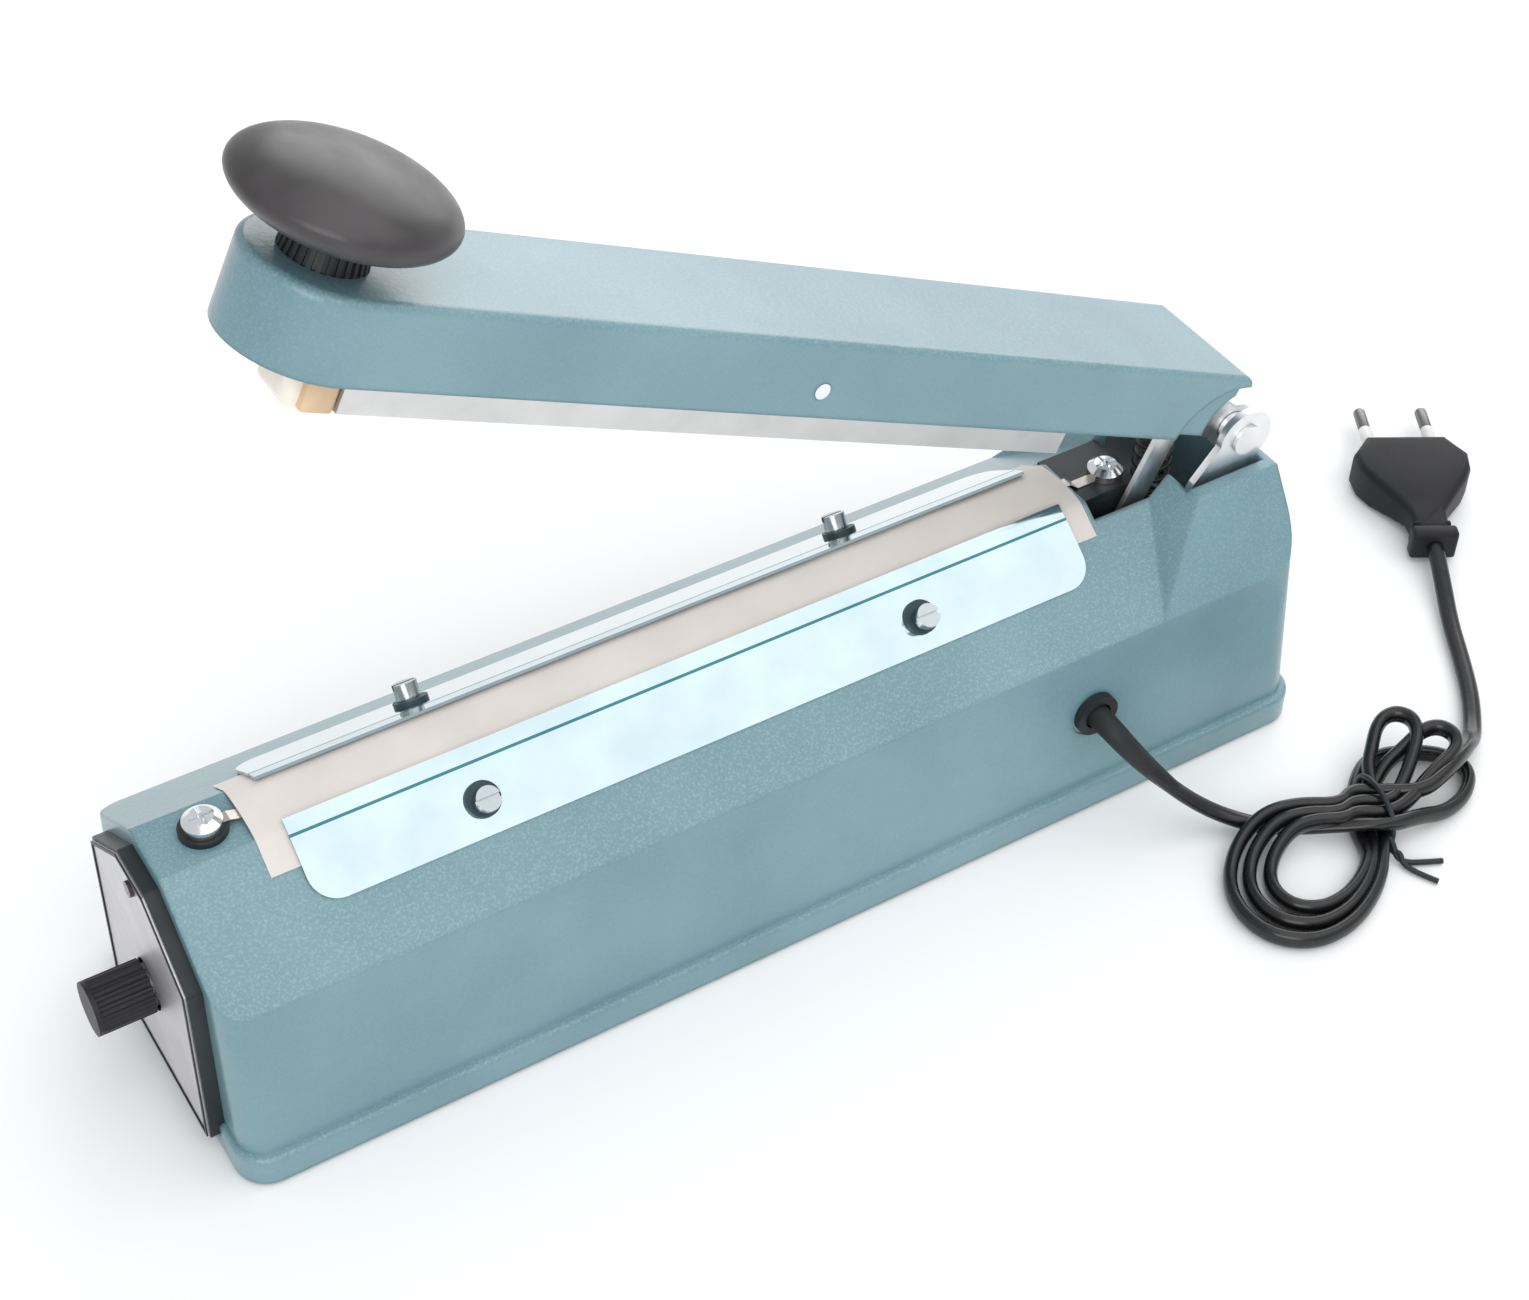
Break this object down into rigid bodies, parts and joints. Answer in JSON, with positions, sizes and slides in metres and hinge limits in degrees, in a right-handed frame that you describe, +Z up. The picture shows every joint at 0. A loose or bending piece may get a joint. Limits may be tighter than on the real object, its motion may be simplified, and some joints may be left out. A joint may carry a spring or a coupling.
{
  "type": "impulse heat sealer",
  "caption": "Hand-operated bag heat sealer: long cast housing with a sealing bed on top, a sprung hinged press arm with a round knob, an end timer dial, and a bundled mains cord with plug.",
  "frame": {"origin": "centre of the sealer's bounding box in plan, at the floor under the rubber feet, measured without the free cord", "axes": "+X runs along the sealer from the timer end to the arm's hinge, +Y to the far side away from the cord outlet, +Z up"},
  "size_m": [0.4287, 0.1562, 0.2364],
  "materials": {
    "teal_enamel": "hammertone gloss",
    "silver_label": "satin",
    "black_plastic": "satin",
    "knob_plastic": "gloss",
    "dial_plastic": "satin",
    "lamp_lens": "gloss",
    "mirror_plate": "mirror",
    "chrome_screw": "polished",
    "zinc_steel": "satin",
    "black_steel": "satin",
    "bakelite_bar": "matte",
    "nichrome": "satin",
    "ptfe_cloth": "matte",
    "bar_aluminium": "satin",
    "silicone_cream": "matte",
    "rubber_black": "matte",
    "cord_pvc": "satin",
    "plug_pvc": "satin",
    "pin_nickel": "polished",
    "core_steel": "matte",
    "winding_tape": "matte",
    "board_laminate": "satin",
    "component_plastic": "gloss"
  },
  "bodies": {
    "base": {"base_housing": "teal_enamel", "bottom_cover": "teal_enamel", "bottom_cover_screws": "zinc_steel", "rubber_feet": "rubber_black", "end_bezel": "black_plastic", "control_label": "silver_label", "indicator_lamp": "lamp_lens", "timer_potentiometer": "zinc_steel", "timer_nut": "zinc_steel", "element_bar": "bakelite_bar", "heating_element": "nichrome", "release_cloth": "ptfe_cloth", "near_retaining_plate": "mirror_plate", "far_retaining_plate": "mirror_plate", "retaining_screws": "chrome_screw", "terminal_bush": "black_plastic", "terminal_nut": "zinc_steel", "terminal_screws": "chrome_screw", "terminal_block": "black_plastic", "hinge_seat": "zinc_steel", "hinge_seat_screws": "zinc_steel", "hinge_pin": "zinc_steel", "pin_clip": "black_steel", "pivot_spacers": "zinc_steel", "return_spring": "black_steel", "transformer_core": "core_steel", "transformer_winding": "winding_tape", "transformer_strap": "zinc_steel", "strap_screws": "zinc_steel", "circuit_board": "board_laminate", "board_posts": "zinc_steel", "board_components": "component_plastic", "micro_switch": "black_plastic", "cord_gland": "rubber_black", "power_cord_machine_end": "cord_pvc", "power_cord_plug_end": "cord_pvc", "power_cord_hank": "cord_pvc", "cord_tie": "black_plastic", "mains_plug": "plug_pvc", "plug_pins": "pin_nickel"},
    "arm": {"arm_shell": "teal_enamel", "arm_bracket_screws": "zinc_steel", "arm_bracket": "zinc_steel", "press_bar_pin": "chrome_screw", "knob_collar": "black_plastic", "arm_knob": "knob_plastic", "knob_screw": "zinc_steel"},
    "press_bar": {"press_bar": "bar_aluminium", "silicone_strip": "silicone_cream"},
    "timer_dial": {"timer_dial": "dial_plastic", "timer_shaft": "zinc_steel"},
    "switch_lever": {"switch_lever": "zinc_steel"}
  },
  "joints": [
    {"name": "arm_press", "type": "hinge", "parent": "base", "child": "arm", "pos_m": [0.1487, 0, 0.0825], "axis": [0, -1, 0], "range_deg": [0, 22.98], "stiffness_Nm_per_rad": 2, "springref_deg": -40.11, "deforming": ["return_spring"]},
    {"name": "press_bar_rock", "type": "hinge", "parent": "arm", "child": "press_bar", "pos_m": [0.01847, 0, 0.14914], "axis": [0, -1, 0], "range_deg": [0, 2.12]},
    {"name": "timer_turn", "type": "hinge", "parent": "base", "child": "timer_dial", "pos_m": [-0.16, 0, 0.031], "axis": [-1, 0, 0], "range_deg": [0, 270]},
    {"name": "switch_press", "type": "hinge", "parent": "base", "child": "switch_lever", "pos_m": [0.1397, 0, 0.0519], "axis": [0, -1, 0], "range_deg": [0, 12.9]}
  ],
  "couplings": [
    {"joint": "switch_press", "follows": "arm_press", "ratio": 0.5577},
    {"joint": "press_bar_rock", "follows": "arm_press", "ratio": 0.0921}
  ]
}
